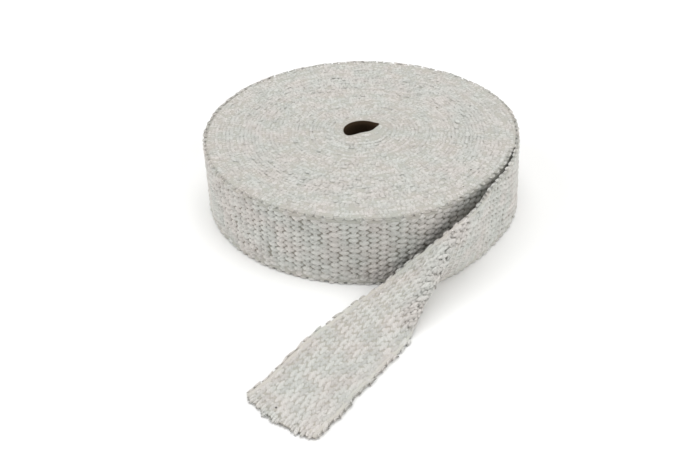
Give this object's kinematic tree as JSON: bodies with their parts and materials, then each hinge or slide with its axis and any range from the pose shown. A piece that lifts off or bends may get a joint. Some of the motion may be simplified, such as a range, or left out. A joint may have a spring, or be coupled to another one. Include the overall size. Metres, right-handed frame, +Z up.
{
  "type": "exhaust heat wrap roll",
  "caption": "Roll of woven ceramic-fibre heat wrap tape lying on its flat end round an open bore, with the loose end peeled off, twisted flat and laid out in front.",
  "frame": {"origin": "on the floor, under the middle of the whole part's bounding box", "axes": "+Z is up, along the roll's own axis; +Y runs from the cut end of the loose tape towards the roll; +X is to the right when the loose end points at the viewer"},
  "size_m": [0.22, 0.3468, 0.05],
  "materials": {
    "woven_tape": "matt woven ceramic-fibre yarn, off-white, with dark holes between the floats"
  },
  "bodies": {
    "root": {"heat_wrap_tape": "woven_tape"}
  },
  "joints": []
}
